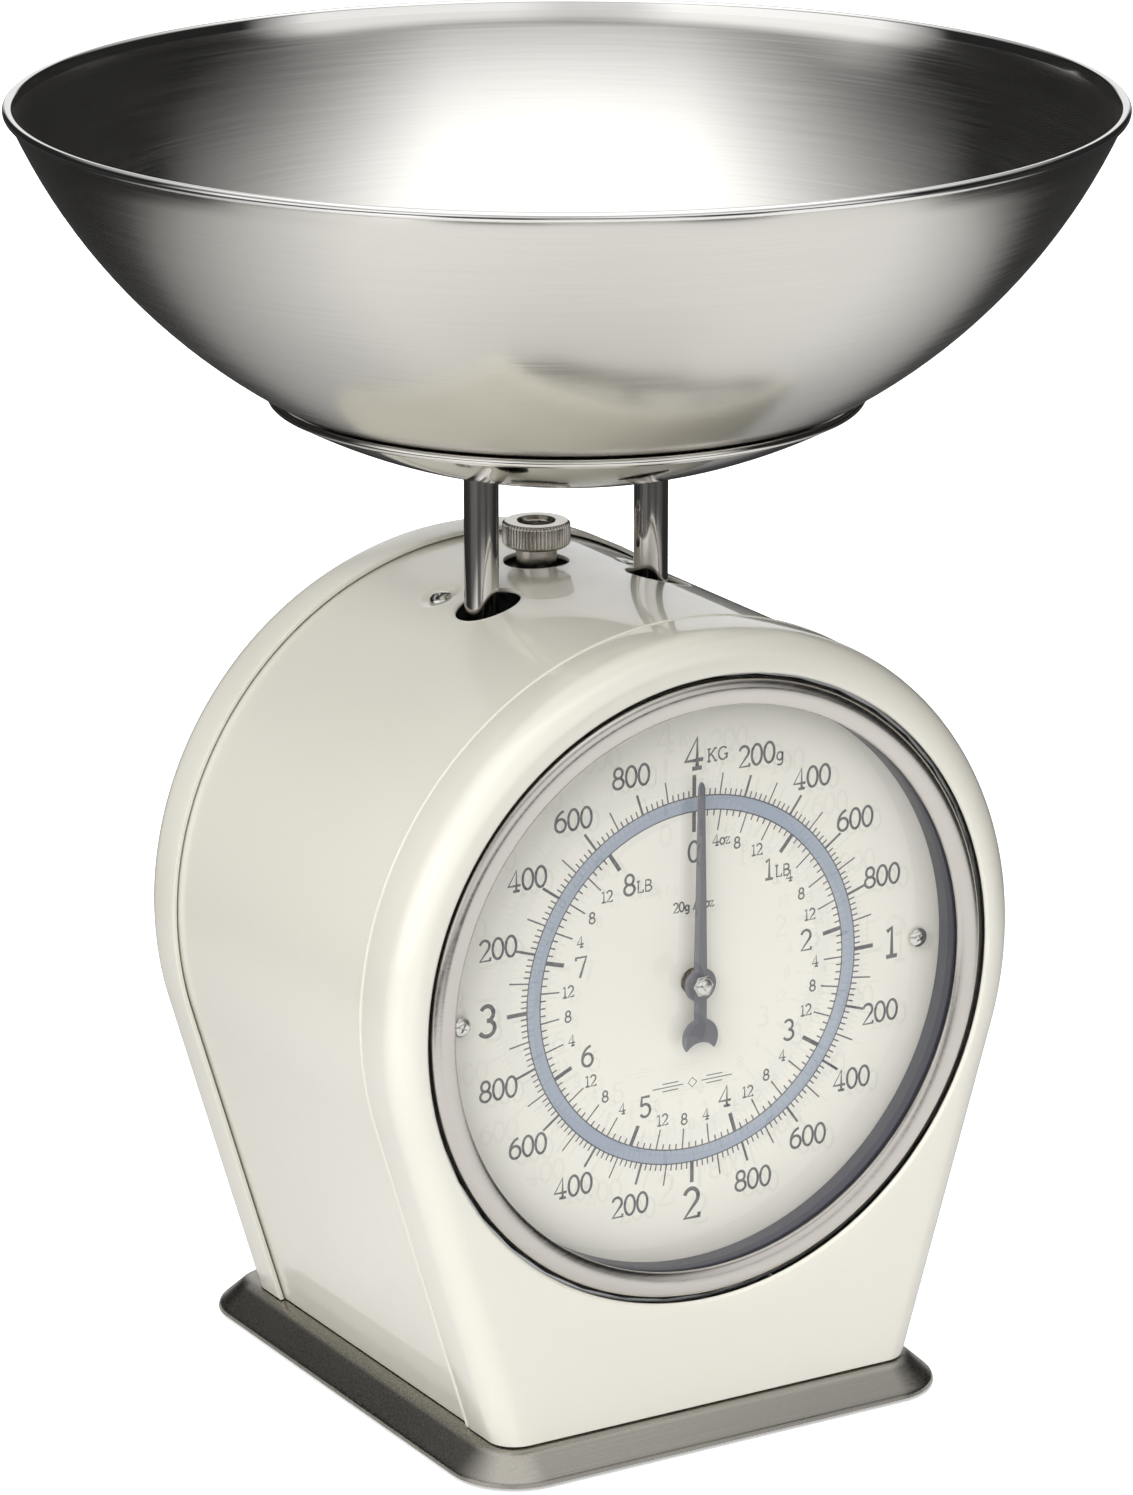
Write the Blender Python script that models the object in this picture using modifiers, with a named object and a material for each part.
"""A retro spring kitchen scale: an arched steel case on a pressed base, a round dial behind glass,
a round platform dish on two posts, and a lift-off bowl.

The case front faces -Y, +Z is up, the bowl's axis is the Z axis, and the feet stand on z = 0.
Inside, the posts carry a sprung carriage. Its rack turns the pointer's pinion once for a full load,
two pivoted arms keep it upright, and a knurled nut on top lifts or lowers the spring hanger.
"""

import math

import bmesh
import bpy
from mathutils import Matrix, Vector

MM = 0.001

# Clearances
FACE_GAP = 0.3 * MM  # between two faces that touch
FIT_GAP = 0.3 * MM  # round a pin, a shaft or a screw, all the way round
SHEET = 0.8 * MM  # case, bowl and dish sheet
MERGE = 0.00001
OVERCUT = 1.0 * MM  # how far a cutter runs past the face it cuts
DRILL = 5.0 * MM  # how far a hole is cut to either side of a thin wall
NUDGE = 0.1 * MM  # keeps two joined boxes from sharing a face

# Roundness, in steps for a full turn
FINE, MEDIUM, COARSE = 40, 32, 10

# Case: an arch whose straight sides lean in towards the base
ARCH_CENTRE = 122.7 * MM
CASE_RADIUS = 92.6 * MM  # outside the front cover
SIDE_LEAN = math.radians(16.75)
ARCH_STEPS = 36
FRONT_FACE = -73.7 * MM
REAR_FACE = 61.0 * MM
FRONT_FILLET = 7.5 * MM
REAR_FILLET = 6.0 * MM
REAR_RADIUS = CASE_RADIUS + 0.4 * MM
WRAP_RADIUS = CASE_RADIUS - SHEET - 0.4 * MM
FRONT_SEAM = FRONT_FACE + 19.2 * MM
REAR_SEAM = REAR_FACE - 15.8 * MM
WRAP_TUCK = 3.0 * MM
ARCH_TOP = ARCH_CENTRE + WRAP_RADIUS

# Base tray and feet
BASE_EDGE = 1.0 * MM
BASE_TOP = 8.7 * MM
BASE_SLOPE = 9.0 * MM
BASE_SHEET = 1.0 * MM
BASE_CORNER = 18.0 * MM
BASE_MARGIN = {"side": 9.42 * MM, "front": 8.2 * MM, "rear": 16.9 * MM}  # outside the case's foot
CASE_FOOT = BASE_TOP + FACE_GAP
CASE_FOOT_X = (CASE_RADIUS + (CASE_FOOT - ARCH_CENTRE) * math.sin(SIDE_LEAN)) / math.cos(SIDE_LEAN)
BASE_HALF_WIDTH = CASE_FOOT_X + BASE_MARGIN["side"]
BASE_FRONT = FRONT_FACE - BASE_MARGIN["front"]
BASE_REAR = REAR_FACE + BASE_MARGIN["rear"]
FOOT_RADIUS = 7.0 * MM
FOOT_INSET = 21.0 * MM

# Dial, its glass and its bezel
DIAL_CENTRE = ARCH_CENTRE - 1.5 * MM
DIAL_FACE = FRONT_FACE + 10.8 * MM
DIAL_RADIUS = CASE_RADIUS - 11.4 * MM
DIAL_HOLE = 3.5 * MM
DIAL_SCREW_X = DIAL_RADIUS - 12.7 * MM
LENS_THICKNESS = 1.5 * MM
SPACER_BORE = DIAL_RADIUS - 5.9 * MM
SPACER_DEPTH = 6.7 * MM
BEZEL_BORE = DIAL_RADIUS - 6.2 * MM
BEZEL_RADIUS = DIAL_RADIUS + 1.2 * MM
BEZEL_FLANGE = BEZEL_RADIUS + 3.6 * MM
BEZEL_CROWN = 1.6 * MM
BEZEL_LIP = (0.2 * MM, 0.7 * MM)  # the inner lip leans out and drops behind the crown
BEZEL_FACE = 4.4 * MM
BEZEL_SHOULDER = (1.1 * MM, 0.4 * MM)
BEZEL_SKIRT = 0.7 * MM
BEZEL_WALL = 0.6 * MM
SKIRT_RADIUS = BEZEL_RADIUS + 0.1 * MM
OPENING_GAP = 0.9 * MM
HOUSING_FLANGE = 8.7 * MM
BRACKET_RISE = 7.0 * MM
BRACKET_STRIP = 1.2 * MM
BRACKET_LEG = (20.4 * MM, 22.0 * MM)
BRACKET_TAB = 12.0 * MM

# Platform dish and bowl
DISH_RISE = 30.9 * MM  # above the top of the arch
DISH_FLOOR = ARCH_TOP + DISH_RISE
DISH_RADIUS = 77.0 * MM
DISH_BEAD = 1.0 * MM
BOWL_RADIUS = 142.5 * MM
BOWL_BEND = 1.0786  # the wall's own radius over the bowl's
BOWL_CURVE = BOWL_RADIUS * BOWL_BEND
BOWL_FLAT = 32.15 * MM
BOWL_FLOOR = DISH_FLOOR + 2.5 * MM
BOWL_BEAD = 1.3 * MM
BOWL_LIP = 0.81 * MM  # how far the rolled rim stands above the wall's curve

# Weighing mechanism
POST_X = 25.5 * MM
POST_RADIUS = 4.5 * MM
POST_BORE_DEPTH = 12.0 * MM
POST_HOLE_RADIUS = 8.8 * MM
POST_HOLE_Y = -3.4 * MM
DISH_FLAT = POST_X + 5.5 * MM
CROSSBAR_TOP = ARCH_CENTRE + 47.3 * MM
CROSSBAR_THICKNESS = 4.0 * MM
CROSSBAR_HALF = POST_X + 7.5 * MM
CROSSBAR_DEPTH = 7.0 * MM
LINK_THICKNESS = 2.0 * MM
LINK_FRONT = -11.0 * MM
LINK_REAR = 5.0 * MM
LINK_TAB = 1.5 * MM
LINK_TAB_GAP = 3.2 * MM  # to the rack arm
LINK_TAB_OUTER = 4.0 * MM
WINDOW_HALF = (5.0 * MM, 4.2 * MM)
CROSS_TIE = 3.0 * MM

GEAR_MODULE = 0.5 * MM
GEAR_TEETH = 10
GEAR_WIDTH = 5.0 * MM
GEAR_FRONT = DIAL_FACE + 5.9 * MM
PRESSURE_ANGLE = math.radians(20)
BACKLASH = 0.12 * MM
RACK_TEETH = 16
RACK_BACK = 5.4 * MM
RACK_ARM_THICKNESS = 3.5 * MM
RACK_ARM_HALF = 5.5 * MM
RACK_ARM_RIB = 3.0 * MM
SHAFT_RADIUS = 1.0 * MM
SHAFT_SHOULDER = 0.9 * MM
BEARING_RADIUS = 3.0 * MM
BEARING_LENGTH = 3.3 * MM

ARM_PIVOT_Y = REAR_FACE - 23.0 * MM
ARM_PIVOT_Z = {"upper": ARCH_CENTRE + 27.3 * MM, "lower": CASE_FOOT + 63.0 * MM}
ARM_HALF_WIDTH = POST_X - 4.7 * MM
ARM_STRIP = 1.6 * MM
ARM_HEIGHT = 8.0 * MM
ARM_PLATE = 1.6 * MM
ARM_PLATE_DEPTH = 6.0 * MM
ARM_REAR_PLATE = 8.0 * MM  # from the pivot
ARM_FRONT_PLATE = 4.0 * MM  # from the carriage pin
ARM_NOSE = 5.0 * MM
ARM_TAIL = 4.5 * MM
PIN_RADIUS = 1.6 * MM
CARRIAGE_PIN_Y = -7.0 * MM
LINK_FOOT = ARM_PIVOT_Z["lower"] - 10.0 * MM
SPRING_BAR_Z = ARM_PIVOT_Z["lower"] + 24.0 * MM
SPRING_BAR_THICKNESS = 3.0 * MM
SPRING_BAR_CHEEK = 1.5 * MM
SPRING_BAR_RISE = 2.0 * MM

# Chassis
CHASSIS_SHEET = 1.6 * MM
CHASSIS_HALF = POST_X + 4.5 * MM
CHASSIS_REAR = REAR_SEAM + 0.4 * MM
CHASSIS_FRONT = DIAL_FACE + 13.9 * MM
CHASSIS_FRONT_TOP = DIAL_CENTRE + 7.8 * MM
CHASSIS_TOP = ARCH_CENTRE + math.sqrt((WRAP_RADIUS - SHEET) ** 2 - CHASSIS_HALF**2) - 2.2 * MM
EAR_GAP = 2.4 * MM
EAR_RISE = 6.0 * MM
EAR_FRONT = 5.0 * MM
BRIDGE_DROP = 1.6 * MM
BRIDGE_FRONT = 8.0 * MM
BRIDGE_REAR = 25.0 * MM
BRIDGE_SPAN = math.radians(24)
BRIDGE_HALF = 12.0 * MM
BRIDGE_SCREW_X = 7.0 * MM
BRIDGE_SCREW_Z = CHASSIS_TOP - 8.0 * MM
BRIDGE_FLANGE = 7.0 * MM

# Zero adjuster and springs
ZERO_Y = 15.6 * MM
ZERO_TOP = ARCH_TOP + 10.7 * MM
ZERO_HEAD = 6.6 * MM
ZERO_HEAD_RADIUS = 8.95 * MM
ZERO_NECK_RADIUS = 5.4 * MM
ZERO_BORE_RADIUS = 4.0 * MM
ZERO_SINK = 0.9 * MM
ZERO_BORE_FOOT = (2.2 * MM, 1.4 * MM)  # its depth below the head and the cone under it
ZERO_CHAMFER = (0.7 * MM, 0.6 * MM)
ZERO_SPIGOT_RADIUS = 3.6 * MM
ZERO_SPIGOT = 6.0 * MM
ZERO_HOLE_RADIUS = 8.9 * MM
ROD_RADIUS = 2.3 * MM
ROD_STANDS_OUT = 5.0 * MM
HANGER_Z = ARCH_TOP - 28.1 * MM
HANGER_THICKNESS = 3.0 * MM
HANGER_DEPTH = 5.0 * MM
HANGER_NUT = (4.0 * MM, 3.2 * MM)
SPRING_X = POST_X - 14.5 * MM
HANGER_HALF = SPRING_X + 6.0 * MM
SPRING_RADIUS = 3.9 * MM
SPRING_WIRE = 0.55 * MM
SPRING_TURNS = 10
SPRING_LEG = 5.0 * MM
SPRING_NECK = 1.5 * MM
SPRING_END = 2.0 * MM

# Pointer
POINTER_LENGTH = DIAL_RADIUS - 27.2 * MM
POINTER_THICKNESS = 0.8 * MM
POINTER_RISE = 3.2 * MM  # above the dial's face
POINTER_HALF = (0.85 * MM, 1.8 * MM)  # at its tip and at its hub
POINTER_TIP = 1.5 * MM
HUB_RADIUS = 4.5 * MM
TAIL_HALF = 1.75 * MM
TAIL_CENTRE = -14.3 * MM
TAIL_RADIUS = 5.2 * MM
HORN_ANGLE = math.radians(38)  # below the tail's middle
NUT_RADIUS = 3.05 * MM
NUT_SEAT = 1.4 * MM  # how far the shaft reaches into the nut
NUT_DOME = [  # radius and height of its front, from the axis outwards
    (0, 2.7 * MM),
    (0.8 * MM, 2.6 * MM),
    (0.9 * MM, 2.2 * MM),
    (2.1 * MM, 1.7 * MM),
    (NUT_RADIUS, 0.7 * MM),
]

# Screws: head radius, head height, shank radius
SMALL_SCREW = (2.8 * MM, 1.7 * MM, 1.25 * MM)
CASE_SCREW = (3.0 * MM, 1.5 * MM, 1.3 * MM)
LARGE_SCREW = (3.4 * MM, 2.1 * MM, 1.6 * MM)
SCREW_LENGTH = {
    "arm": 9.0 * MM,
    "base": 6.0 * MM,
    "bridge": 6.0 * MM,
    "case": 5.0 * MM,
    "dial": 4.0 * MM,
    "dish": 9.0 * MM,
    "post": 12.0 * MM,
    "rear": 18.0 * MM,
}
CASE_SCREW_X = 30.0 * MM
CASE_SCREW_Y = 14.0 * MM
DIMPLE_RADIUS = 5.0 * MM
DIMPLE_DEPTH = 1.1 * MM
DIMPLE_LIP = 0.5 * MM
BASE_SCREW_Y = 30.0 * MM
POST_SCREW = (LARGE_SCREW[0], 1.8 * MM, LARGE_SCREW[2])  # a flatter head, to pass the window
DISH_SCREW = (LARGE_SCREW[0], 1.3 * MM, LARGE_SCREW[2])  # a thin head, to lie under the bowl
REAR_SCREW_Z = {"upper": CHASSIS_TOP - 18.0 * MM, "lower": CASE_FOOT + 47.0 * MM}

# Worked out from the sizes above
GEAR_RADIUS = GEAR_MODULE * GEAR_TEETH / 2
PITCH_LINE = GEAR_RADIUS + BACKLASH
RACK_ARM_X = PITCH_LINE + RACK_BACK / 2 + GEAR_MODULE
STROKE = 2 * math.pi * GEAR_RADIUS
ARM_LENGTH = ARM_PIVOT_Y - CARRIAGE_PIN_Y
ARM_TILT = math.atan2(STROKE / 2, ARM_LENGTH)
LENS_BACK = DIAL_FACE - FACE_GAP - SPACER_DEPTH - FACE_GAP
LENS_FACE = LENS_BACK - LENS_THICKNESS
BEZEL_BACK = LENS_FACE - FACE_GAP
DIAL_BACK = DIAL_FACE + SHEET
LINK_X = POST_X - LINK_THICKNESS / 2
BOWL_CURVE_Z = BOWL_FLOOR + math.sqrt(BOWL_CURVE**2 - BOWL_FLAT**2)
BOWL_BEAD_X = BOWL_RADIUS - BOWL_BEAD
BOWL_BEAD_Z = BOWL_CURVE_Z - math.sqrt(BOWL_CURVE**2 - BOWL_BEAD_X**2) + BOWL_LIP
DISH_BEAD_X = DISH_RADIUS - DISH_BEAD
DISH_BEAD_Z = BOWL_CURVE_Z - math.sqrt((BOWL_CURVE + FACE_GAP + DISH_BEAD) ** 2 - DISH_BEAD_X**2)
DISH_CURVE = math.hypot(DISH_FLAT, BOWL_CURVE_Z - DISH_FLOOR)  # about the bowl's own middle
POST_TOP = DISH_FLOOR - FACE_GAP
POST_FOOT = CROSSBAR_TOP + FACE_GAP
CROSSBAR_UNDER = CROSSBAR_TOP - CROSSBAR_THICKNESS
SCREW_HOLE = LARGE_SCREW[2] + FIT_GAP
SMALL_HOLE = SMALL_SCREW[2] + FIT_GAP
PIN_HOLE = PIN_RADIUS + FIT_GAP

CREAM = ("cream_enamel", (0.80, 0.79, 0.72), 0.22, 0.0)
STEEL = ("polished_steel", (0.72, 0.71, 0.69), 0.15, 1.0)
BRUSHED = ("brushed_steel", (0.60, 0.58, 0.56), 0.35, 1.0)
ZINC = ("zinc_plate", (0.55, 0.56, 0.58), 0.4, 1.0)
BRASS = ("brass", (0.72, 0.55, 0.25), 0.3, 1.0)
GREY = ("grey_paint", (0.18, 0.18, 0.20), 0.5, 0.0)
DIAL_PAINT = ("dial_paint", (0.84, 0.83, 0.76), 0.4, 0.0)
GLASS = ("clear_lens", (0.95, 0.97, 0.97), 0.05, 0.0)
SPACER_PLASTIC = ("dark_plastic", (0.05, 0.05, 0.07), 0.5, 0.0)
RUBBER = ("black_rubber", (0.03, 0.03, 0.03), 0.8, 0.0)
SPRING_STEEL = ("spring_steel", (0.45, 0.45, 0.46), 0.3, 1.0)


# ---- scene and materials

for old in list(bpy.data.objects):
    bpy.data.objects.remove(old, do_unlink=True)

parts = bpy.data.collections.new("kitchen_scale")
cutters = bpy.data.collections.new("cutters")
bpy.context.scene.collection.children.link(parts)
bpy.context.scene.collection.children.link(cutters)


def material(name, colour, roughness, metallic):
    """The named material, made on its first use."""
    found = bpy.data.materials.get(name)
    if found:
        return found
    made = bpy.data.materials.new(name)
    made.use_nodes = True
    shader = made.node_tree.nodes["Principled BSDF"]
    shader.inputs["Base Color"].default_value = (*colour, 1)
    shader.inputs["Roughness"].default_value = roughness
    shader.inputs["Metallic"].default_value = metallic
    return made


def axis_empty(name, location):
    """An empty on a joint's axis, which the moving pieces hang from."""
    empty = bpy.data.objects.new(name, None)
    empty.location = location
    empty.empty_display_size = 10 * MM
    parts.objects.link(empty)
    return empty


def add(name, data, look, body=None, at=(0, 0, 0), turn=None):
    """A visible piece, placed at a point, turned by a matrix and hung from its body's empty."""
    piece = bpy.data.objects.new(name, data)
    data.materials.append(material(*look))
    place = Matrix.Translation(at) @ (turn or Matrix())
    if body:
        piece.parent = body
        place = Matrix.Translation(-body.location) @ place
    piece.matrix_local = place
    parts.objects.link(piece)
    return piece


def helper(name, data, at=(0, 0, 0), turn=None):
    """A piece that only cuts or joins others."""
    piece = bpy.data.objects.new(name, data)
    piece.matrix_local = Matrix.Translation(at) @ (turn or Matrix())
    piece.hide_render = True
    piece.display_type = "WIRE"
    cutters.objects.link(piece)
    return piece


def boolean(piece, other, operation):
    step = piece.modifiers.new(other.name, "BOOLEAN")
    step.operation = operation
    step.solver = "EXACT"
    step.object = other


# ---- shapes

ABOUT_Z = Matrix()
ABOUT_Y = Matrix.Rotation(math.pi / 2, 4, "X")  # its own +Z points to the front
ABOUT_X = Matrix.Rotation(math.pi / 2, 4, "Y")


def mesh_from(builder, name):
    mesh = bpy.data.meshes.new(name)
    builder.to_mesh(mesh)
    builder.free()
    return mesh


def box_mesh(name, low, high):
    builder = bmesh.new()
    bmesh.ops.create_cube(builder, size=1)
    size = [h - l for l, h in zip(low, high)]
    middle = [(l + h) / 2 for l, h in zip(low, high)]
    place = Matrix.Translation(middle) @ Matrix.Diagonal((*size, 1))
    bmesh.ops.transform(builder, matrix=place, verts=builder.verts)
    return mesh_from(builder, name)


def cylinder_mesh(name, radius, low, high, steps):
    """A closed cylinder about its own Z axis."""
    builder = bmesh.new()
    bmesh.ops.create_cone(
        builder, cap_ends=True, segments=steps, radius1=radius, radius2=radius, depth=high - low
    )
    bmesh.ops.translate(builder, vec=(0, 0, (low + high) / 2), verts=builder.verts)
    return mesh_from(builder, name)


def join_box(piece, name, low, high):
    boolean(piece, helper(f"{piece.name}_{name}", box_mesh(name, low, high)), "UNION")


def cut_box(piece, name, low, high):
    boolean(piece, helper(f"{piece.name}_{name}", box_mesh(name, low, high)), "DIFFERENCE")


def cut_hole(piece, name, radius, at, low, high, turn=ABOUT_Z, steps=COARSE):
    """A round hole along the turned Z axis through a point, from low to high along it."""
    mesh = cylinder_mesh(name, radius, low, high, steps)
    boolean(piece, helper(f"{piece.name}_{name}", mesh, at, turn), "DIFFERENCE")


def turned_mesh(name, profile, closed):
    """The edges of a profile of (radius, height) points, for a Screw modifier."""
    mesh = bpy.data.meshes.new(name)
    count = len(profile)
    edges = [(i, (i + 1) % count) for i in range(count if closed else count - 1)]
    mesh.from_pydata([(radius, 0, height) for radius, height in profile], edges, [])
    return mesh


def spin(piece, steps):
    screw = piece.modifiers.new("turned", "SCREW")
    screw.axis = "Z"
    screw.angle = 2 * math.pi
    screw.steps = steps
    screw.render_steps = steps
    screw.use_merge_vertices = True
    screw.merge_threshold = MERGE
    screw.use_smooth_shade = True


def turned(name, profile, look, steps, body=None, at=(0, 0, 0), turn=ABOUT_Z):
    """A turned piece. A profile that starts on the axis is open, and any other is a closed ring."""
    closed = profile[0][0] > 0
    piece = add(name, turned_mesh(name, profile, closed), look, body, at, turn)
    spin(piece, steps)
    return piece


def dial_turned(name, profile, look, steps, body=None):
    """A turned piece about the dial's axis, from a profile of (radius, y) points, front to rear outside."""
    flipped = [(radius, -y) for radius, y in profile]
    return turned(name, flipped, look, steps, body, (0, 0, DIAL_CENTRE), ABOUT_Y)


def ring_profile(bore, radius, high, low):
    return [(bore, high), (radius, high), (radius, low), (bore, low)]


def screw_profile(size, length):
    """A pan head above the origin and its shank below."""
    head, height, shank = size
    dome = [(head * math.sin(a), height * (0.4 + 0.6 * math.cos(a))) for a in (0.0, 0.9)]
    return [*dome, (head, height * 0.35), (head, 0), (shank, 0), (shank, -length), (0, -length)]


def screw(name, size, length, at, turn=ABOUT_Z, body=None, look=ZINC):
    return turned(name, screw_profile(size, length), look, COARSE, body, at, turn)


def arc(centre, radius, start, end, steps):
    """Points of an arc in a plane, from a start angle to an end angle."""
    angles = [start + (end - start) * i / steps for i in range(steps + 1)]
    return [(centre[0] + radius * math.cos(a), centre[1] + radius * math.sin(a)) for a in angles]


def arch_outline(radius, foot):
    """The case's outline as (x, z) points, from the right foot over the top to the left foot."""
    foot_x = (radius + (foot - ARCH_CENTRE) * math.sin(SIDE_LEAN)) / math.cos(SIDE_LEAN)
    top = arc((0, ARCH_CENTRE), radius, -SIDE_LEAN, math.pi + SIDE_LEAN, ARCH_STEPS)
    return [(foot_x, foot), *top, (-foot_x, foot)]


def loft_mesh(name, rings, closed, capped):
    """A surface through rings of equal point counts, each ring pulled out of the one before it."""
    builder = bmesh.new()
    ring = [builder.verts.new(point) for point in rings[0]]
    pairs = list(zip(ring, ring[1:] + ring[:1])) if closed else list(zip(ring, ring[1:]))
    edges = [builder.edges.new(pair) for pair in pairs]
    for points in rings[1:]:
        order = {vert: i for i, vert in enumerate(ring)}
        pulled = bmesh.ops.extrude_edge_only(builder, edges=edges)["geom"]
        new_edges = [item for item in pulled if isinstance(item, bmesh.types.BMEdge)]
        new_verts = [item for item in pulled if isinstance(item, bmesh.types.BMVert)]
        above = {}
        for vert in new_verts:
            old = next(e.other_vert(vert) for e in vert.link_edges if e.other_vert(vert) in order)
            above[order[old]] = vert
        ring = [above[i] for i in range(len(points))]
        for vert, point in zip(ring, points):
            vert.co = point
        edges = new_edges
    if capped:
        bmesh.ops.contextual_create(builder, geom=ring)
    bmesh.ops.recalc_face_normals(builder, faces=builder.faces)
    return mesh_from(builder, name)


def solidify(piece, thickness):
    wall = piece.modifiers.new("sheet", "SOLIDIFY")
    wall.thickness = thickness
    wall.offset = -1
    wall.use_even_offset = True


def arch_cover(name, radius, seam, face, fillet, look):
    """A pressed cover: a side wall from the seam, a rounded edge and a flat face."""
    way = math.copysign(1, face - seam)
    stations = [(radius, seam)]
    for shrink, rise in arc((0, 0), fillet, 0, math.pi / 2, 4):
        stations.append((radius - fillet + shrink, face - way * (fillet - rise)))
    rings = [[(x, y, z) for x, z in arch_outline(r, CASE_FOOT)] for r, y in stations]
    mesh = loft_mesh(name, rings, closed=False, capped=True)
    piece = add(name, mesh, look)
    solidify(piece, SHEET)
    return piece


# ---- base

def rounded_rectangle(inset, z):
    half, front, rear = BASE_HALF_WIDTH - inset, BASE_FRONT + inset, BASE_REAR - inset
    corner = BASE_CORNER - inset
    points = []
    for turn, x, y in ((-1, half, front), (0, half, rear), (1, -half, rear), (2, -half, front)):
        centre = (x - math.copysign(corner, x), y - math.copysign(corner, y))
        points += arc(centre, corner, turn * math.pi / 2, (turn + 1) * math.pi / 2, 5)
    return [(x, y, z) for x, y in points]


def make_base():
    rise = BASE_TOP - BASE_EDGE
    stations = [(0, 0), (0.07, 0.2), (0.78, 0.93), (1, 1)]
    rings = [rounded_rectangle(BASE_SLOPE * s, BASE_EDGE + rise * t) for s, t in stations]
    tray = add("base_plate", loft_mesh("base_plate", rings, closed=True, capped=True), BRUSHED)
    solidify(tray, BASE_SHEET)
    head_seat = BASE_TOP - BASE_SHEET - FACE_GAP
    upside_down = Matrix.Rotation(math.pi, 4, "X")
    for name, side in (("front", -1), ("rear", 1)):
        at = (0, side * BASE_SCREW_Y, head_seat)
        cut_hole(tray, f"{name}_hole", SCREW_HOLE, at, -OVERCUT, BASE_SHEET + 2 * OVERCUT)
        screw(f"base_screw_{name}", LARGE_SCREW, SCREW_LENGTH["base"], at, upside_down)
    foot = [
        (0, head_seat),
        (FOOT_RADIUS * 0.8, head_seat),
        (FOOT_RADIUS, head_seat * 0.6),
        (FOOT_RADIUS, BASE_EDGE),
        (FOOT_RADIUS - BASE_EDGE, 0),
        (0, 0),
    ]
    for side, x in (("left", -1), ("right", 1)):
        for end, y in (("front", BASE_FRONT + FOOT_INSET), ("rear", BASE_REAR - FOOT_INSET)):
            at = (x * (BASE_HALF_WIDTH - FOOT_INSET), y, 0)
            turned(f"foot_{end}_{side}", foot, RUBBER, 16, None, at)


# ---- case

def arch_height(x, radius):
    return ARCH_CENTRE + math.sqrt(radius**2 - x**2)


def lean_at(x):
    """A turn whose own +Z points straight out of the arch above x."""
    return Matrix.Rotation(math.asin(x / WRAP_RADIUS), 4, "Y")


def make_case():
    ends = (FRONT_SEAM - WRAP_TUCK, REAR_SEAM + WRAP_TUCK)
    rings = [[(x, y, z) for x, z in arch_outline(WRAP_RADIUS, CASE_FOOT)] for y in ends]
    wrap = add("case_wrap", loft_mesh("case_wrap", rings, closed=False, capped=False), CREAM)
    solidify(wrap, SHEET)
    top = (ARCH_CENTRE + WRAP_RADIUS / 2, ARCH_CENTRE + WRAP_RADIUS + OVERCUT)
    for side, x in (("left", -POST_X), ("right", POST_X)):
        cut_hole(wrap, f"{side}_post_hole", POST_HOLE_RADIUS, (x, POST_HOLE_Y, 0), *top, steps=24)
    cut_hole(wrap, "zero_hole", ZERO_HOLE_RADIUS, (0, ZERO_Y, 0), *top, steps=24)
    for side, x in (("left", -CASE_SCREW_X), ("right", CASE_SCREW_X)):
        centre = (0, CASE_SCREW_Y, ARCH_CENTRE)
        reach = (WRAP_RADIUS - DRILL, WRAP_RADIUS + OVERCUT)
        cut_hole(wrap, f"{side}_dimple_hole", DIMPLE_RADIUS, centre, *reach, turn=lean_at(x), steps=16)
        floor = WRAP_RADIUS - DIMPLE_DEPTH
        lip = (DIMPLE_RADIUS + DIMPLE_LIP, WRAP_RADIUS - 2 * NUDGE, WRAP_RADIUS - SHEET + NUDGE)
        cup = [
            (CASE_SCREW[2] + FIT_GAP, floor),
            (CASE_SCREW[0] - 4 * NUDGE, floor),
            (lip[0], lip[1]),
            (lip[0], lip[2]),
            (CASE_SCREW[0], floor - SHEET),
            (CASE_SCREW[2] + FIT_GAP, floor - SHEET),
        ]
        dimple = helper(f"{side}_dimple", turned_mesh(f"{side}_dimple", cup, True), centre, lean_at(x))
        spin(dimple, 16)
        boolean(wrap, dimple, "UNION")
        seat = Matrix.Translation((0, 0, floor + FACE_GAP))
        screw(f"case_screw_{side}", CASE_SCREW, SCREW_LENGTH["case"], centre, lean_at(x) @ seat)

    front = arch_cover("front_cover", CASE_RADIUS, FRONT_SEAM, FRONT_FACE, FRONT_FILLET, CREAM)
    reach = (-FRONT_SEAM, OVERCUT - FRONT_FACE)
    opening = BEZEL_RADIUS + OPENING_GAP
    cut_hole(front, "dial_opening", opening, (0, 0, DIAL_CENTRE), *reach, turn=ABOUT_Y, steps=FINE)

    rear = arch_cover("rear_cover", REAR_RADIUS, REAR_SEAM, REAR_FACE, REAR_FILLET, CREAM)
    to_rear = Matrix.Rotation(-math.pi / 2, 4, "X")
    for end, z in REAR_SCREW_Z.items():
        seat = (0, REAR_FACE + FACE_GAP, z)
        cut_hole(rear, f"{end}_hole", SCREW_HOLE, seat, -DRILL, OVERCUT, turn=to_rear)
        screw(f"rear_screw_{end}", LARGE_SCREW, SCREW_LENGTH["rear"], seat, to_rear)


# ---- dial group

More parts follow.
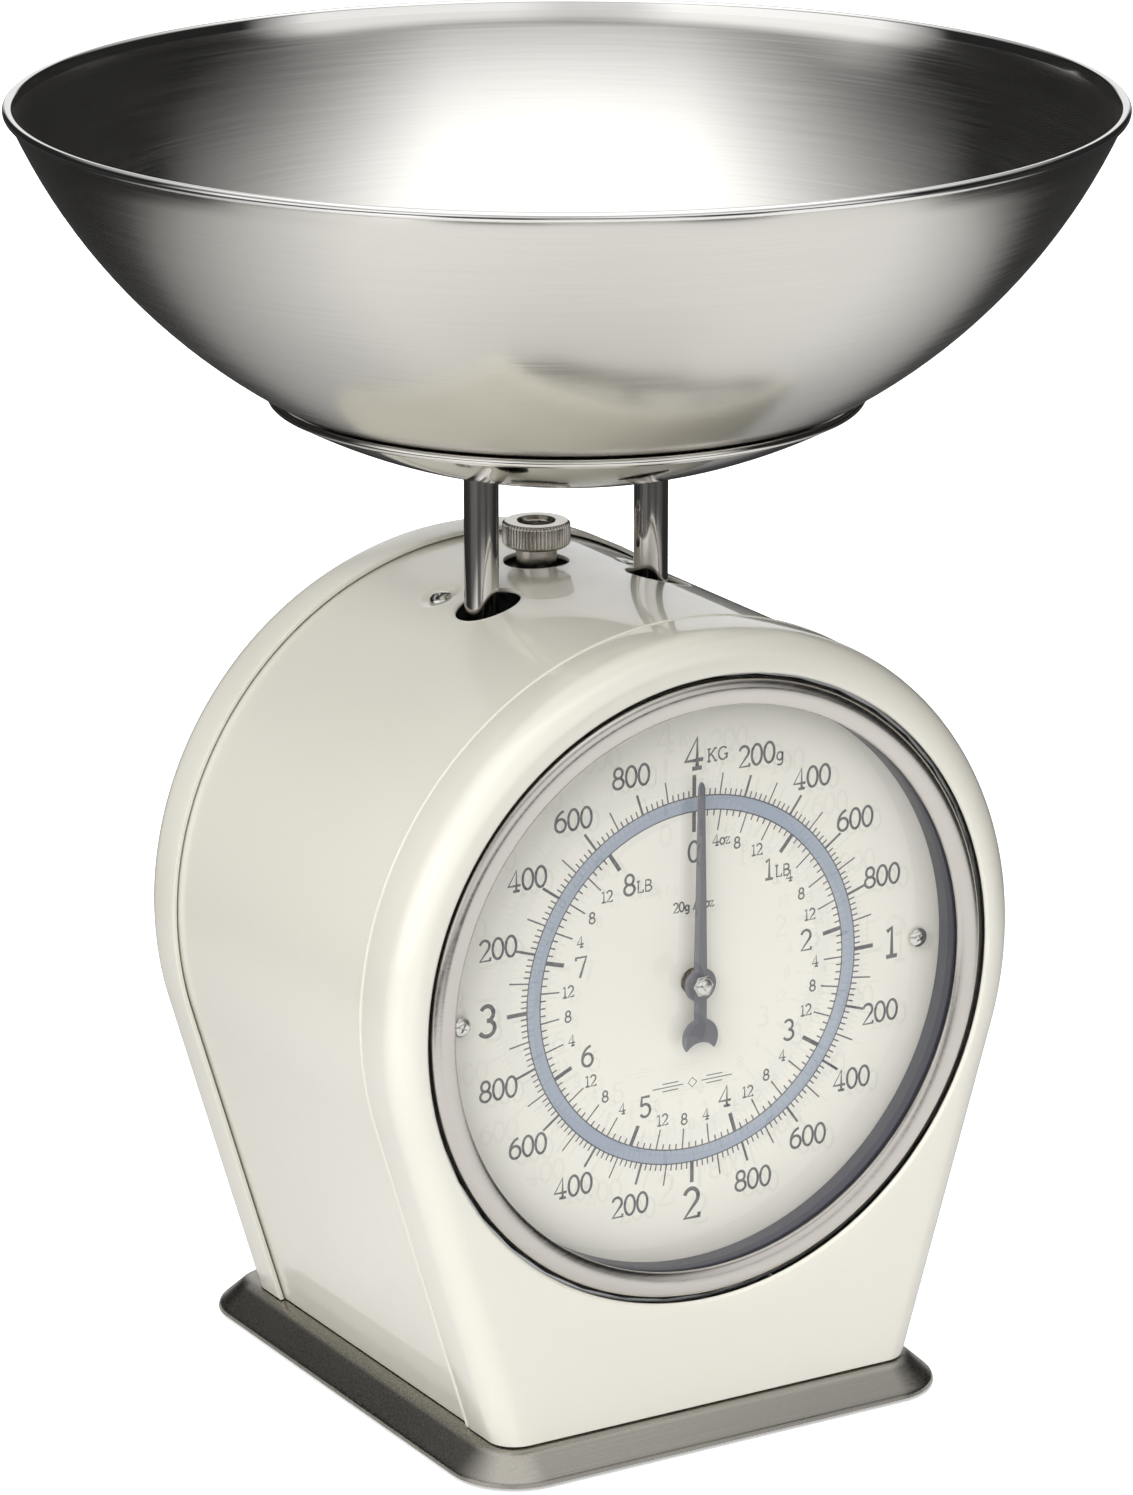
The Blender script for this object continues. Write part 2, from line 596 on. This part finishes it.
def make_dial():
    crown = BEZEL_BACK - BEZEL_CROWN
    skirt = LENS_BACK + BEZEL_SKIRT
    flange = BEZEL_BACK - FACE_GAP
    bezel = [
        (BEZEL_BORE, BEZEL_BACK),
        (BEZEL_BORE + BEZEL_LIP[0], crown + BEZEL_LIP[1]),
        (BEZEL_BORE + BEZEL_FACE, crown),
        (BEZEL_RADIUS - BEZEL_SHOULDER[0], crown + BEZEL_SHOULDER[1]),
        (BEZEL_RADIUS, flange),
        (BEZEL_FLANGE, flange),
        (BEZEL_FLANGE, flange + SHEET),
        (SKIRT_RADIUS, flange + SHEET),
        (SKIRT_RADIUS, skirt),
        (SKIRT_RADIUS - BEZEL_WALL, skirt),
        (SKIRT_RADIUS - BEZEL_WALL, BEZEL_BACK),
    ]
    dial_turned("bezel", bezel, BRUSHED, FINE)
    lens_radius = SKIRT_RADIUS - BEZEL_WALL - 2 * FIT_GAP
    lens = [(0, LENS_FACE), (lens_radius, LENS_FACE), (lens_radius, LENS_BACK), (0, LENS_BACK)]
    dial_turned("dial_lens", lens, GLASS, FINE)
    spacer_face = LENS_BACK + FACE_GAP
    spacer = ring_profile(SPACER_BORE, DIAL_RADIUS, spacer_face, DIAL_FACE - FACE_GAP)
    dial_turned("dial_spacer", spacer, SPACER_PLASTIC, FINE)
    disc = ring_profile(DIAL_HOLE, DIAL_RADIUS, DIAL_FACE, DIAL_BACK)
    plate = dial_turned("dial_plate", disc, DIAL_PAINT, FINE)

    bore = SKIRT_RADIUS + FIT_GAP
    back = DIAL_BACK + FACE_GAP
    housing = [
        (bore, flange + SHEET + FACE_GAP),
        (bore + SHEET, flange + SHEET + FACE_GAP),
        (bore + SHEET, back + SHEET),
        (DIAL_RADIUS - HOUSING_FLANGE, back + SHEET),
        (DIAL_RADIUS - HOUSING_FLANGE, back),
        (bore, back),
    ]
    dial_turned("dial_housing", housing, ZINC, FINE)

    half, strip = DIAL_RADIUS - HOUSING_FLANGE - OVERCUT, BRACKET_STRIP
    low, high = DIAL_CENTRE - BRACKET_RISE, DIAL_CENTRE + BRACKET_RISE
    bracket = add("dial_bracket", box_mesh("strip", (-half, back, low), (half, back + strip, high)), ZINC)
    seat = CHASSIS_FRONT - FACE_GAP
    for side, x in (("left", -1), ("right", 1)):
        inner, outer = BRACKET_LEG
        leg = sorted((x * outer, x * inner))
        foot = sorted((x * outer, x * BRACKET_TAB))
        join_box(bracket, f"{side}_leg", (leg[0], back + strip / 2, low), (leg[1], seat - NUDGE, high))
        join_box(bracket, f"{side}_tab", (foot[0], seat - CHASSIS_SHEET, low), (foot[1], seat, high))
        at = (x * DIAL_SCREW_X, DIAL_FACE - FACE_GAP, DIAL_CENTRE)
        for piece in (plate, bracket):
            cut_hole(piece, f"{side}_hole", SMALL_HOLE, at, -DRILL, OVERCUT, turn=ABOUT_Y)
        screw(f"dial_screw_{side}", SMALL_SCREW, SCREW_LENGTH["dial"], at, ABOUT_Y)
    bearing = (0, back, DIAL_CENTRE)
    cut_hole(bracket, "bearing_hole", BEARING_RADIUS + FIT_GAP, bearing, -DRILL, DRILL, turn=ABOUT_Y)
    bush = (SHAFT_RADIUS + FIT_GAP, BEARING_RADIUS)
    dial_turned("front_bearing", ring_profile(*bush, back, back + BEARING_LENGTH), BRASS, 16)
    bush_front = CHASSIS_FRONT - OVERCUT / 2
    rear_bush = ring_profile(*bush, bush_front, bush_front + BEARING_LENGTH)
    dial_turned("rear_bearing", rear_bush, BRASS, 16)


# ---- chassis, bridge and pivot pins

def make_chassis():
    foot, sheet = CASE_FOOT, CHASSIS_SHEET
    rear_wall = CHASSIS_REAR - sheet
    corner = (-CHASSIS_HALF, CHASSIS_FRONT, foot)
    floor = box_mesh("floor", corner, (CHASSIS_HALF, CHASSIS_REAR, foot + sheet))
    chassis = add("chassis", floor, ZINC)
    front_half = CHASSIS_HALF - 4 * OVERCUT
    join_box(
        chassis, "rear_wall", (-CHASSIS_HALF, rear_wall, foot), (CHASSIS_HALF, CHASSIS_REAR, CHASSIS_TOP)
    )
    join_box(
        chassis,
        "front_wall",
        (-front_half, CHASSIS_FRONT, foot),
        (front_half, CHASSIS_FRONT + sheet, CHASSIS_FRONT_TOP),
    )
    ear_inner = ARM_HALF_WIDTH + EAR_GAP
    pin_end = ear_inner + sheet + OVERCUT
    for level, z in ARM_PIVOT_Z.items():
        for side in (-1, 1):
            edges = sorted((side * ear_inner, side * (ear_inner + sheet)))
            low = (edges[0], ARM_PIVOT_Y - EAR_FRONT, z - EAR_RISE)
            high = (edges[1], rear_wall + sheet / 2, z + EAR_RISE)
            join_box(chassis, f"{level}_ear_{side}", low, high)
        pivot = (0, ARM_PIVOT_Y, z)
        cut_hole(chassis, f"{level}_pin_hole", PIN_HOLE, pivot, -pin_end, pin_end, turn=ABOUT_X)
        pin = cylinder_mesh(f"{level}_pivot_pin", PIN_RADIUS, -pin_end, pin_end, COARSE)
        add(f"{level}_pivot_pin", pin, STEEL, None, pivot, ABOUT_X)
    bearing = (0, CHASSIS_FRONT, DIAL_CENTRE)
    bore = BEARING_RADIUS + FIT_GAP
    cut_hole(chassis, "bearing_hole", bore, bearing, -DRILL, DRILL, turn=ABOUT_Y, steps=16)
    for end, side in (("front", -1), ("rear", 1)):
        cut_hole(chassis, f"{end}_base_hole", SCREW_HOLE, (0, side * BASE_SCREW_Y, foot), -OVERCUT, DRILL)
    for end, z in REAR_SCREW_Z.items():
        at = (0, CHASSIS_REAR, z)
        cut_hole(chassis, f"{end}_cover_hole", SCREW_HOLE, at, -DRILL, DRILL, turn=ABOUT_Y)

    drop = WRAP_RADIUS - SHEET - BRIDGE_DROP
    start, end = math.pi / 2 - BRIDGE_SPAN, math.pi / 2 + BRIDGE_SPAN
    centre = (0, ARCH_CENTRE)
    outline = arc(centre, drop, start, end, 12) + arc(centre, drop - sheet, end, start, 12)
    rings = [[(x, y, z) for x, z in outline] for y in (BRIDGE_FRONT, BRIDGE_REAR)]
    strip = loft_mesh("top_bridge", rings, closed=True, capped=False)
    builder = bmesh.new()
    builder.from_mesh(strip)
    bmesh.ops.holes_fill(builder, edges=builder.edges)
    bmesh.ops.recalc_face_normals(builder, faces=builder.faces)
    builder.to_mesh(strip)
    builder.free()
    bridge = add("top_bridge", strip, ZINC)
    crest = ARCH_CENTRE + drop - sheet / 2
    flange_rear = rear_wall - FACE_GAP
    tongue = (-BRIDGE_HALF, BRIDGE_REAR - OVERCUT, crest - sheet)
    join_box(bridge, "tongue", tongue, (BRIDGE_HALF, flange_rear, crest))
    flange = (-BRIDGE_HALF, flange_rear - sheet, BRIDGE_SCREW_Z - BRIDGE_FLANGE)
    join_box(bridge, "flange", flange, (BRIDGE_HALF, flange_rear - MERGE, crest - sheet / 2))
    spigot = ZERO_SPIGOT_RADIUS + FIT_GAP
    cut_hole(bridge, "zero_hole", spigot, (0, ZERO_Y, ARCH_CENTRE + drop), -DRILL, DRILL, steps=16)
    for side, x in (("left", -1), ("right", 1)):
        lean = lean_at(x * CASE_SCREW_X)
        case_hole = CASE_SCREW[2] + FIT_GAP
        middle = (0, CASE_SCREW_Y, ARCH_CENTRE)
        cut_hole(bridge, f"{side}_case_hole", case_hole, middle, drop - DRILL, drop + DRILL, turn=lean)
        at = (x * BRIDGE_SCREW_X, flange_rear - sheet - FACE_GAP, BRIDGE_SCREW_Z)
        for piece in (bridge, chassis):
            cut_hole(piece, f"{side}_bridge_hole", SMALL_HOLE, at, -DRILL, OVERCUT, turn=ABOUT_Y)
        screw(f"bridge_screw_{side}", SMALL_SCREW, SCREW_LENGTH["bridge"], at, ABOUT_Y)


# ---- carriage: what the load pushes down

def make_carriage(body):
    inner_floor = DISH_FLOOR + SHEET
    bead = (DISH_BEAD_X, DISH_BEAD_Z)
    reach = DISH_BEAD * math.sin(math.pi / 4)
    middle = (0, BOWL_CURVE_Z)
    start = math.asin(DISH_FLAT / DISH_CURVE) - math.pi / 2
    end = math.asin((DISH_BEAD_X - reach) / DISH_CURVE) - math.pi / 2
    under = arc(middle, DISH_CURVE, start, end, 6)
    over = arc(middle, DISH_CURVE - SHEET, start, end, 6)
    rim = arc(bead, DISH_BEAD, math.radians(175), math.radians(-130), 6)
    profile = [(0, inner_floor), *over, *rim, *under[::-1], (0, DISH_FLOOR)]
    dish = turned("platform_dish", profile, STEEL, MEDIUM, body)

    bar = box_mesh(
        "upper_crossbar",
        (-CROSSBAR_HALF, -CROSSBAR_DEPTH, CROSSBAR_UNDER),
        (CROSSBAR_HALF, CROSSBAR_DEPTH, CROSSBAR_TOP),
    )
    crossbar = add("upper_crossbar", bar, ZINC, body)
    bore = SCREW_HOLE
    post = [
        (0, POST_TOP - POST_BORE_DEPTH),
        (bore, POST_TOP - POST_BORE_DEPTH),
        (bore, POST_TOP),
        (POST_RADIUS - 4 * NUDGE, POST_TOP),
        (POST_RADIUS, POST_TOP - 4 * NUDGE),
        (POST_RADIUS, POST_FOOT),
        (bore, POST_FOOT),
        (bore, POST_FOOT + POST_BORE_DEPTH),
        (0, POST_FOOT + POST_BORE_DEPTH),
    ]
    upside_down = Matrix.Rotation(math.pi, 4, "X")
    link_top = CROSSBAR_UNDER - FACE_GAP
    pins = {level: z + STROKE / 2 for level, z in ARM_PIVOT_Z.items()}
    for side, x in (("left", -1), ("right", 1)):
        turned(f"{side}_post", post, STEEL, 24, body, (x * POST_X, 0, 0))
        cut_hole(dish, f"{side}_hole", bore, (x * POST_X, 0, DISH_FLOOR), -OVERCUT, DRILL)
        seat = (x * POST_X, 0, inner_floor + FACE_GAP)
        screw(f"dish_screw_{side}", DISH_SCREW, SCREW_LENGTH["dish"], seat, body=body, look=STEEL)
        cut_hole(crossbar, f"{side}_hole", bore, (x * POST_X, 0, CROSSBAR_UNDER), -OVERCUT, DRILL)
        outer = LINK_X + LINK_THICKNESS
        wall = sorted((x * LINK_X, x * outer))
        tab = sorted((x * (RACK_ARM_X + RACK_ARM_HALF + LINK_TAB_GAP), x * (outer + LINK_TAB_OUTER)))
        plate = box_mesh("link", (wall[0], LINK_FRONT, LINK_FOOT), (wall[1], LINK_REAR, link_top))
        link = add(f"{side}_link", plate, ZINC, body)
        tab_low = (tab[0], -LINK_REAR, link_top - LINK_TAB)
        join_box(link, "tab", tab_low, (tab[1], LINK_REAR - 2 * NUDGE, link_top - MERGE))
        wide, deep = WINDOW_HALF
        window_top = link_top - LINK_TAB - MERGE
        window = (x * POST_X - wide, -deep, window_top - DRILL)
        cut_box(link, "window", window, (x * POST_X + wide, deep, window_top))
        cut_hole(link, "post_hole", bore, (x * POST_X, 0, link_top), -DRILL, OVERCUT)
        seat = (x * POST_X, 0, link_top - LINK_TAB - FACE_GAP)
        screw(f"post_screw_{side}", POST_SCREW, SCREW_LENGTH["post"], seat, upside_down, body)
        for level, z in pins.items():
            at = (x * POST_X, CARRIAGE_PIN_Y, z)
            cut_hole(link, f"{level}_pin_hole", PIN_HOLE, at, -DRILL, DRILL, turn=ABOUT_X)

    pin_end = LINK_X + LINK_THICKNESS + OVERCUT
    for level, z in pins.items():
        pin = cylinder_mesh(f"{level}_carriage_pin", PIN_RADIUS, -pin_end, pin_end, COARSE)
        add(f"{level}_carriage_pin", pin, STEEL, body, (0, CARRIAGE_PIN_Y, z), ABOUT_X)

    between = LINK_X - FACE_GAP
    tie_top = LINK_FOOT + CROSS_TIE
    tie = box_mesh("lower_crossbar", (-between, -LINK_REAR, LINK_FOOT), (between, LINK_REAR, tie_top))
    add("lower_crossbar", tie, ZINC, body)
    back, bar_top = ZERO_Y + HANGER_DEPTH, SPRING_BAR_Z + SPRING_BAR_THICKNESS
    low = (-between, ZERO_Y - HANGER_DEPTH, SPRING_BAR_Z)
    plate = box_mesh("spring_bar", low, (between, back, bar_top))
    spring_bar = add("spring_bar", plate, ZINC, body)
    for side in (-1, 1):
        edges = sorted((side * (between - SPRING_BAR_CHEEK), side * between))
        low = (edges[0], -SPRING_BAR_RISE, SPRING_BAR_Z - SPRING_BAR_RISE)
        join_box(spring_bar, f"cheek_{side}", low, (edges[1], back, bar_top + SPRING_BAR_RISE))
        hole = (side * SPRING_X, ZERO_Y, SPRING_BAR_Z)
        cut_hole(spring_bar, f"spring_hole_{side}", 2 * SPRING_WIRE, hole, -OVERCUT, DRILL)
    make_rack(body)


# ---- gears

def involute(angle):
    return math.tan(angle) - angle


def gear_outline():
    """The pinion's outline: involute flanks that go straight in below the base circle."""
    base = GEAR_RADIUS * math.cos(PRESSURE_ANGLE)
    tip, root = GEAR_RADIUS + GEAR_MODULE, GEAR_RADIUS - 1.25 * GEAR_MODULE
    half = (math.pi * GEAR_MODULE / 2 - BACKLASH) / (2 * GEAR_RADIUS) + involute(PRESSURE_ANGLE)
    flank = [(root, half)]
    for i in range(4):
        radius = base + (tip - base) * i / 3
        flank.append((radius, half - involute(math.acos(min(1, base / radius)))))
    points = []
    for tooth in range(GEAR_TEETH):
        middle = 2 * math.pi * tooth / GEAR_TEETH
        sides = [(r, middle - a) for r, a in flank] + [(r, middle + a) for r, a in reversed(flank)]
        points += [(r * math.cos(a), r * math.sin(a)) for r, a in sides]
    return points


def prism_mesh(name, outline, low, high):
    """A flat outline pulled out along its own Z axis."""
    builder = bmesh.new()
    face = builder.faces.new([builder.verts.new((x, y, low)) for x, y in outline])
    pulled = bmesh.ops.extrude_face_region(builder, geom=[face])["geom"]
    verts = [item for item in pulled if isinstance(item, bmesh.types.BMVert)]
    bmesh.ops.translate(builder, vec=(0, 0, high - low), verts=verts)
    bmesh.ops.recalc_face_normals(builder, faces=builder.faces)
    return mesh_from(builder, name)


def rack_outline(foot, top):
    """The rack's outline from the pinion's axis: teeth on its left, with a space level with that axis."""
    pitch = math.pi * GEAR_MODULE
    line = PITCH_LINE
    tip, root = line - 0.75 * GEAR_MODULE, line + 1.3 * GEAR_MODULE
    thick = pitch / 4 - BACKLASH / 2
    points = [(line + RACK_BACK, foot), (line + RACK_BACK, top), (root, top)]
    for tooth in reversed(range(RACK_TEETH)):
        middle = (tooth - 1.5) * pitch
        for way in (1, -1):
            wide = thick + (root - line) * math.tan(PRESSURE_ANGLE)
            narrow = thick - (line - tip) * math.tan(PRESSURE_ANGLE)
            flank = [(root, middle + way * wide), (tip, middle + way * narrow)]
            points += flank[::way]
    return points + [(root, foot)]


def make_rack(body):
    arm_top = CROSSBAR_UNDER - FACE_GAP
    arm_under = arm_top - RACK_ARM_THICKNESS
    foot = -3 * math.pi * GEAR_MODULE
    top = arm_under - FACE_GAP - DIAL_CENTRE
    # The outline's own Y axis stands up, so it is pulled out along -Y.
    rack = prism_mesh("rack", rack_outline(foot, top), -GEAR_FRONT - GEAR_WIDTH, -GEAR_FRONT)
    add("rack", rack, BRASS, body, (0, 0, DIAL_CENTRE), ABOUT_Y)
    half = RACK_ARM_HALF
    low = (RACK_ARM_X - half, GEAR_FRONT - OVERCUT, arm_under)
    strip = box_mesh("rack_arm", low, (RACK_ARM_X + half, CROSSBAR_DEPTH - OVERCUT, arm_top))
    arm = add("rack_arm", strip, ZINC, body)
    for side in (-1, 1):
        edges = sorted((RACK_ARM_X + side * (half - OVERCUT), RACK_ARM_X + side * half))
        low = (edges[0], GEAR_FRONT, arm_under - RACK_ARM_RIB)
        join_box(arm, f"rib_{side}", low, (edges[1], -CROSSBAR_DEPTH - RACK_ARM_RIB, arm_under + OVERCUT))
    at = (RACK_ARM_X, 0, CROSSBAR_TOP + FACE_GAP)
    crossbar = bpy.data.objects["upper_crossbar"]
    for piece in (arm, crossbar):
        cut_hole(piece, "arm_screw_hole", SMALL_HOLE, at, -2 * DRILL, OVERCUT)
    screw("arm_screw", SMALL_SCREW, SCREW_LENGTH["arm"], at, body=body)


def make_pointer(body):
    pointer_back = DIAL_FACE - POINTER_RISE
    thickness = POINTER_THICKNESS
    pointer_face = pointer_back - thickness
    nut_back = pointer_face - FACE_GAP
    shaft_front = nut_back - NUT_SEAT
    shaft_rear = CHASSIS_FRONT + BEARING_LENGTH + OVERCUT
    shoulder = SHAFT_RADIUS + SHAFT_SHOULDER
    collar = DIAL_FACE + FACE_GAP
    shaft = [
        (0, shaft_front),
        (SHAFT_RADIUS, shaft_front),
        (SHAFT_RADIUS, pointer_back + FACE_GAP),
        (shoulder, pointer_back + FACE_GAP),
        (shoulder, collar),
        (SHAFT_RADIUS, collar),
        (SHAFT_RADIUS, shaft_rear),
        (0, shaft_rear),
    ]
    pinion = dial_turned("pinion", shaft, BRASS, COARSE, body)
    gear = prism_mesh("gear", gear_outline(), -GEAR_FRONT - GEAR_WIDTH, -GEAR_FRONT)
    boolean(pinion, helper("pinion_gear", gear, (0, 0, DIAL_CENTRE), ABOUT_Y), "UNION")

    narrow, wide = POINTER_HALF
    top, neck, bulge = (
        math.acos(half / circle)
        for half, circle in ((wide, HUB_RADIUS), (TAIL_HALF, HUB_RADIUS), (TAIL_HALF, TAIL_RADIUS))
    )
    notch_centre = TAIL_CENTRE - 2 * TAIL_RADIUS * math.sin(HORN_ANGLE)
    needle = [(0, POINTER_LENGTH), (narrow, POINTER_LENGTH - POINTER_TIP)]
    hub = arc((0, 0), HUB_RADIUS, top, -neck, 10)
    side = arc((0, TAIL_CENTRE), TAIL_RADIUS, bulge, -HORN_ANGLE, 10)
    notch = arc((0, notch_centre), TAIL_RADIUS, HORN_ANGLE, math.pi / 2, 5)
    half = needle + hub + side + notch[1:]
    outline = half + [(-x, z) for x, z in half[-2:0:-1]]
    blade = prism_mesh("pointer", outline, -thickness / 2, thickness / 2)
    pointer = add("pointer", blade, GREY, body, (0, pointer_face + thickness / 2, DIAL_CENTRE), ABOUT_Y)
    centre = (0, pointer_face, DIAL_CENTRE)
    cut_hole(pointer, "shaft_hole", SHAFT_RADIUS + FIT_GAP, centre, -OVERCUT, OVERCUT, turn=ABOUT_Y)

    bore = SHAFT_RADIUS + FIT_GAP
    nut = [
        *[(radius, nut_back - height) for radius, height in NUT_DOME],
        (NUT_RADIUS, nut_back),
        (bore, nut_back),
        (bore, shaft_front - FACE_GAP),
        (0, shaft_front - FACE_GAP),
    ]
    dial_turned("pointer_nut", nut, STEEL, COARSE, body)


# ---- arms, zero adjuster, springs and bowl

def make_arm(level, body):
    """A frame of two strips and two cross plates, with a round pivot behind and a slot in front."""
    half, strip, rise = ARM_HALF_WIDTH, ARM_STRIP, ARM_HEIGHT / 2
    front, rear = -ARM_LENGTH - ARM_NOSE, ARM_TAIL
    tilt = Matrix.Rotation(-ARM_TILT, 4, "X")
    at = body.location
    left = box_mesh("strip", (-half, front, -rise), (strip - half, rear, rise))
    arm = add(f"{level}_arm", left, ZINC, body, at, tilt)
    joined = {
        "rear_plate": -ARM_REAR_PLATE - ARM_PLATE_DEPTH,
        "front_plate": ARM_FRONT_PLATE - ARM_LENGTH,
    }
    for name, y in joined.items():
        low = (NUDGE - half, y, -ARM_PLATE / 2)
        plate = box_mesh(name, low, (half - NUDGE, y + ARM_PLATE_DEPTH, ARM_PLATE / 2))
        boolean(arm, helper(f"{level}_{name}", plate, at, tilt), "UNION")
    right = box_mesh("right_strip", (half - strip, front, -rise), (half, rear, rise))
    boolean(arm, helper(f"{level}_right_strip", right, at, tilt), "UNION")
    bore = cylinder_mesh("bore", PIN_HOLE, -half - OVERCUT, half + OVERCUT, COARSE)
    pin = helper(f"{level}_bore", bore, at, tilt @ ABOUT_X)
    reach = ARM_LENGTH / math.cos(ARM_TILT)
    low = (-half - OVERCUT, -reach - PIN_HOLE, -PIN_HOLE)
    high = (half + OVERCUT, PIN_HOLE - ARM_LENGTH, PIN_HOLE)
    slot = helper(f"{level}_slot", box_mesh("slot", low, high), at, tilt)
    boolean(arm, pin, "DIFFERENCE")
    boolean(arm, slot, "DIFFERENCE")


def make_zero(nut_body, hanger_body):
    seat = ARCH_CENTRE + WRAP_RADIUS - SHEET - BRIDGE_DROP + FACE_GAP
    under_head = ZERO_TOP - ZERO_HEAD
    depth, cone = ZERO_BORE_FOOT
    bore, deep = ROD_RADIUS + FIT_GAP, under_head - depth
    inward, down = ZERO_CHAMFER
    spigot_foot = seat - ZERO_SPIGOT
    nut = [
        (ZERO_BORE_RADIUS + ZERO_SINK, ZERO_TOP),
        (ZERO_HEAD_RADIUS - inward, ZERO_TOP),
        (ZERO_HEAD_RADIUS, ZERO_TOP - down),
        (ZERO_HEAD_RADIUS, under_head + down),
        (ZERO_HEAD_RADIUS - inward, under_head),
        (ZERO_NECK_RADIUS, under_head),
        (ZERO_NECK_RADIUS, seat),
        (ZERO_SPIGOT_RADIUS, seat),
        (ZERO_SPIGOT_RADIUS, spigot_foot),
        (bore, spigot_foot),
        (bore, deep - cone),
        (ZERO_BORE_RADIUS, deep),
        (ZERO_BORE_RADIUS, ZERO_TOP - ZERO_SINK),
    ]
    turned("zero_knob", nut, STEEL, 24, nut_body, (0, ZERO_Y, 0))

    rod_foot, rod_top = HANGER_Z - ROD_STANDS_OUT, deep - cone - NUDGE
    rod = [(0, rod_top), (ROD_RADIUS, rod_top), (ROD_RADIUS, rod_foot), (0, rod_foot)]
    turned("zero_rod", rod, ZINC, COARSE, hanger_body, (0, ZERO_Y, 0))
    low = (-HANGER_HALF, ZERO_Y - HANGER_DEPTH, HANGER_Z)
    plate = box_mesh("hanger_bar", low, (HANGER_HALF, ZERO_Y + HANGER_DEPTH, HANGER_Z + HANGER_THICKNESS))
    bar = add("hanger_bar", plate, ZINC, hanger_body)
    cut_hole(bar, "rod_hole", bore, (0, ZERO_Y, HANGER_Z), -OVERCUT, DRILL, steps=16)
    for side in (-1, 1):
        hole = (side * SPRING_X, ZERO_Y, HANGER_Z)
        cut_hole(bar, f"spring_hole_{side}", 2 * SPRING_WIRE, hole, -OVERCUT, DRILL)
    nut_top = HANGER_Z - FACE_GAP
    nut_radius, nut_height = HANGER_NUT
    hexagon = cylinder_mesh("hanger_nut", nut_radius, nut_top - nut_height, nut_top, 6)
    hex_nut = add("hanger_nut", hexagon, ZINC, hanger_body, (0, ZERO_Y, 0))
    cut_hole(hex_nut, "bore", bore, (0, ZERO_Y, nut_top), -DRILL, OVERCUT)


def make_springs():
    low = SPRING_BAR_Z + SPRING_BAR_THICKNESS + SPRING_LEG
    high = HANGER_Z - SPRING_LEG
    per_turn = 8
    count = SPRING_TURNS * per_turn
    for side, x in (("left", -SPRING_X), ("right", SPRING_X)):
        route = [(0, 0, SPRING_BAR_Z - SPRING_END), (0, 0, low - SPRING_NECK)]
        for i in range(count + 1):
            angle = 2 * math.pi * i / per_turn
            height = low + (high - low) * i / count
            route.append((SPRING_RADIUS * math.cos(angle), SPRING_RADIUS * math.sin(angle), height))
        route += [(0, 0, high + SPRING_NECK), (0, 0, HANGER_Z + HANGER_THICKNESS + SPRING_END)]
        wire = bpy.data.curves.new(f"{side}_spring", "CURVE")
        wire.dimensions = "3D"
        wire.bevel_depth = SPRING_WIRE
        wire.bevel_resolution = 1
        wire.use_fill_caps = True
        spline = wire.splines.new("POLY")
        spline.points.add(len(route) - 1)
        for point, place in zip(spline.points, route):
            point.co = (*place, 1)
        add(f"{side}_spring", wire, SPRING_STEEL, None, (x, ZERO_Y, 0))


def make_bowl(body):
    inner = BOWL_CURVE - SHEET
    centre = (0, BOWL_CURVE_Z)
    rim_start = math.asin((BOWL_RADIUS - 2.2 * BOWL_BEAD) / BOWL_CURVE) - math.pi / 2

    def floor_angle(radius, height):
        return math.acos((BOWL_CURVE_Z - height) / radius) - math.pi / 2

    inside = arc(centre, inner, floor_angle(inner, BOWL_FLOOR + SHEET), rim_start, 8)
    outside = arc(centre, BOWL_CURVE, rim_start, floor_angle(BOWL_CURVE, BOWL_FLOOR), 8)
    rim = arc((BOWL_BEAD_X, BOWL_BEAD_Z), BOWL_BEAD, math.radians(190), math.radians(-110), 6)
    profile = [(0, BOWL_FLOOR + SHEET), *inside, *rim, *outside, (0, BOWL_FLOOR)]
    turned("bowl", profile, BRUSHED, MEDIUM, body)


make_base()
make_case()
make_dial()
make_chassis()
make_carriage(axis_empty("weighing_slide", Vector((0, 0, POST_FOOT))))
make_pointer(axis_empty("pointer_axis", Vector((0, 0, DIAL_CENTRE))))
for arm_level, pivot_z in ARM_PIVOT_Z.items():
    make_arm(arm_level, axis_empty(f"{arm_level}_arm_axis", Vector((0, ARM_PIVOT_Y, pivot_z))))
make_zero(
    axis_empty("zero_knob_axis", Vector((0, ZERO_Y, ZERO_TOP))),
    axis_empty("hanger_slide", Vector((0, ZERO_Y, HANGER_Z))),
)
make_springs()
make_bowl(axis_empty("bowl_axis", Vector((0, 0, BOWL_FLOOR))))
